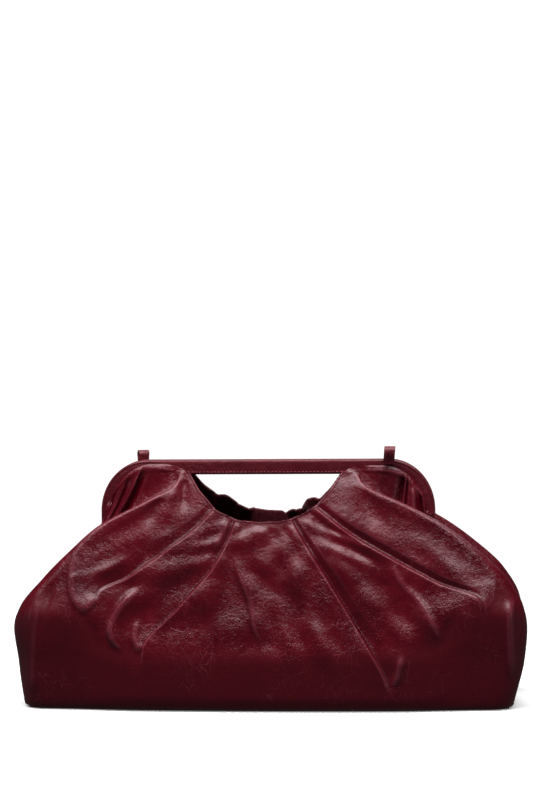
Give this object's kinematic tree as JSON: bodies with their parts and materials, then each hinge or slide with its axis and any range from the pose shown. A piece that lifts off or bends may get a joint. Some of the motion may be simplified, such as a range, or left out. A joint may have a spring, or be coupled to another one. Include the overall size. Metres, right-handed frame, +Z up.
{
  "type": "leather frame clutch bag",
  "caption": "Pleated leather clutch bag gathered onto a rounded frame whose top bar is the handle, with a scooped neck, soft gussets, a flat base and loops for a strap.",
  "frame": {"origin": "middle of the flat base, on the surface that the bag stands on", "axes": "+X to the right as seen from the front, +Y to the back, +Z up"},
  "size_m": [0.4464, 0.1328, 0.222],
  "materials": {
    "body_leather": "glossy pull-up",
    "frame_leather": "glossy",
    "facing_leather": "satin",
    "hinge_metal": "brushed"
  },
  "bodies": {
    "root": {"front_panel": "body_leather", "back_panel": "body_leather", "gusset_right": "body_leather", "gusset_left": "body_leather", "base_panel": "body_leather", "neck_facing_front": "facing_leather", "neck_facing_back": "facing_leather", "frame_front": "frame_leather", "frame_back": "frame_leather", "hinge_right": "hinge_metal", "hinge_left": "hinge_metal", "strap_loop_front": "frame_leather", "strap_loop_back": "frame_leather"}
  },
  "joints": []
}
